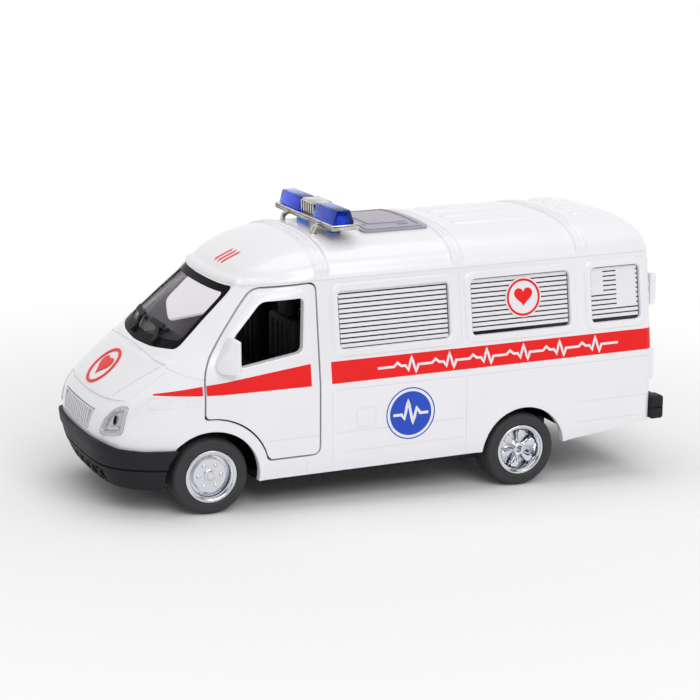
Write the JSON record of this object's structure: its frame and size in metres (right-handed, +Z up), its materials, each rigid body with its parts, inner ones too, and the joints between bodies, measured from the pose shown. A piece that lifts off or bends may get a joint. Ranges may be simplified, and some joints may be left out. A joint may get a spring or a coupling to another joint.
{
  "type": "toy ambulance",
  "caption": "Die-cast toy ambulance van with opening front and rear doors, roof light bar, louvred side windows, rolling wheels and a flywheel drive geared to the rear axle.",
  "frame": {"origin": "on the ground under the middle of the overall length, in the middle plane", "axes": "+X points forward, +Y to the vehicle's left, +Z up; the wheels stand on z = 0"},
  "size_m": [0.106, 0.0432, 0.0499],
  "materials": {
    "paint_white": "gloss enamel on die-cast zinc",
    "black_plastic": "matte moulded",
    "tinted_clear": "clear tinted styrene with a printed border",
    "printed_clear": "clear styrene printed with white louvre stripes",
    "lamp_clear": "clear moulded styrene",
    "silver_plastic": "silver paint",
    "chrome": "vacuum-plated plastic",
    "blue_clear": "translucent blue moulding",
    "grey_plastic": "grey moulding",
    "steel": "bright wire",
    "gear_plastic": "natural acetal",
    "tyre": "soft matte"
  },
  "bodies": {
    "body": {"body_shell": "paint_white", "rear_hinge_brackets": "paint_white", "front_bumper": "black_plastic", "rear_bumper": "black_plastic", "base_plate": "black_plastic", "interior_tub": "black_plastic", "seats": "black_plastic", "steering_wheel": "black_plastic", "wipers": "black_plastic", "windscreen": "tinted_clear", "side_glazing_left": "printed_clear", "side_glazing_right": "printed_clear", "headlamp_lenses": "lamp_clear", "grille": "silver_plastic", "headlamp_reflectors": "silver_plastic", "lightbar_base": "chrome", "lightbar_centre": "chrome", "lens_left": "blue_clear", "lens_right": "blue_clear", "roof_hatch": "grey_plastic", "drive_case": "grey_plastic", "drive_cover": "grey_plastic", "door_pins": "steel", "base_screws": "steel"},
    "front_door_left": {"door_left": "paint_white", "door_hinge_left": "black_plastic", "mirror_left": "paint_white"},
    "front_door_right": {"door_right": "paint_white", "door_hinge_right": "black_plastic", "mirror_right": "paint_white"},
    "tail_door_left": {"rear_door_left": "paint_white", "rear_window_left": "tinted_clear"},
    "tail_door_right": {"rear_door_right": "paint_white", "rear_window_right": "tinted_clear"},
    "front_wheels": {"front_axle": "steel", "front_hubs": "chrome", "front_tyres": "tyre"},
    "rear_wheels": {"rear_axle": "steel", "rear_hubs": "chrome", "rear_tyres": "tyre", "axle_gear": "gear_plastic"},
    "idler": {"idler_gear": "gear_plastic"},
    "flywheel_rotor": {"flywheel": "steel"}
  },
  "joints": [
    {"name": "front_door_left_swing", "type": "hinge", "parent": "body", "child": "front_door_left", "pos_m": [0.03217, 0.0186, 0.01926], "axis": [-0.0363, 0, -0.9993], "range_deg": [0, 60]},
    {"name": "front_door_right_swing", "type": "hinge", "parent": "body", "child": "front_door_right", "pos_m": [0.03217, -0.0186, 0.01926], "axis": [0.0363, 0, 0.9993], "range_deg": [0, 60]},
    {"name": "tail_door_left_swing", "type": "hinge", "parent": "body", "child": "tail_door_left", "pos_m": [-0.05141, 0.0164, 0.02705], "axis": [-0.0363, 0, -0.9993], "range_deg": [0, 100]},
    {"name": "tail_door_right_swing", "type": "hinge", "parent": "body", "child": "tail_door_right", "pos_m": [-0.05141, -0.0164, 0.02705], "axis": [0.0363, 0, 0.9993], "range_deg": [0, 100]},
    {"name": "front_axle_spin", "type": "hinge", "parent": "body", "child": "front_wheels", "pos_m": [0.03345, 0, 0.00663], "axis": [0, 1, 0], "continuous": true},
    {"name": "rear_axle_spin", "type": "hinge", "parent": "body", "child": "rear_wheels", "pos_m": [-0.02455, 0, 0.00663], "axis": [0, 1, 0], "continuous": true},
    {"name": "idler_spin", "type": "hinge", "parent": "body", "child": "idler", "pos_m": [-0.02034, 0, 0.01098], "axis": [0, 1, 0], "continuous": true},
    {"name": "flywheel_spin", "type": "hinge", "parent": "body", "child": "flywheel_rotor", "pos_m": [-0.0139, 0, 0.01074], "axis": [0, 1, 0], "continuous": true}
  ],
  "couplings": [
    {"joint": "idler_spin", "follows": "rear_axle_spin", "ratio": -1.5},
    {"joint": "flywheel_spin", "follows": "rear_axle_spin", "ratio": 2.5}
  ]
}
